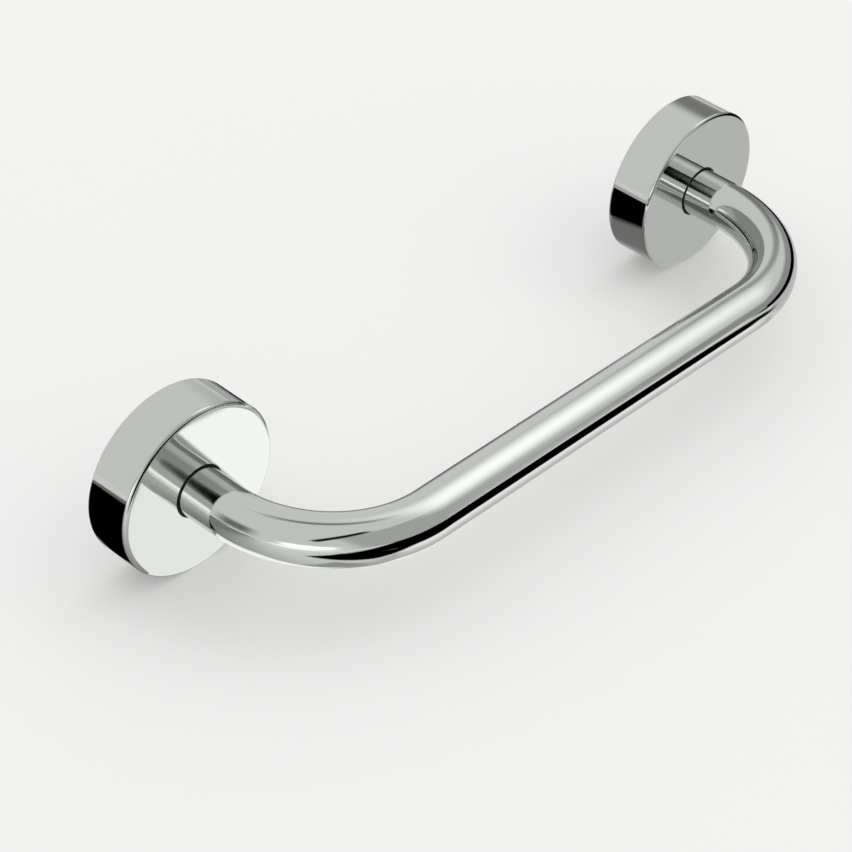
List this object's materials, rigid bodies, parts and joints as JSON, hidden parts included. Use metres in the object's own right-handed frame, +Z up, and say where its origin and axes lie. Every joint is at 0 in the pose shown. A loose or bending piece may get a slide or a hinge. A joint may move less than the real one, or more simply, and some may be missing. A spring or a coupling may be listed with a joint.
{
  "type": "grab bar",
  "caption": "Chromed wall grab bar: a round tube bent square at both ends, carried by thick round roses.",
  "frame": {"origin": "on the wall plane, midway between the two rose axes", "axes": "+X along the bar, +Y into the wall, +Z up"},
  "size_m": [0.375, 0.1, 0.075],
  "materials": {
    "chrome": "polished",
    "seal_rubber": "matte",
    "plug_brass": "turned",
    "stainless": "satin",
    "plate_zinc": "zinc plated"
  },
  "bodies": {
    "root": {"grip_tube": "chrome", "left_rose": "chrome", "left_seal_ring": "seal_rubber", "left_tube_plug": "plug_brass", "left_clamp_screw": "stainless", "left_clamp_washer": "stainless", "left_wall_plate": "plate_zinc", "left_set_screw": "stainless", "right_rose": "chrome", "right_seal_ring": "seal_rubber", "right_tube_plug": "plug_brass", "right_clamp_screw": "stainless", "right_clamp_washer": "stainless", "right_wall_plate": "plate_zinc", "right_set_screw": "stainless"}
  },
  "joints": []
}
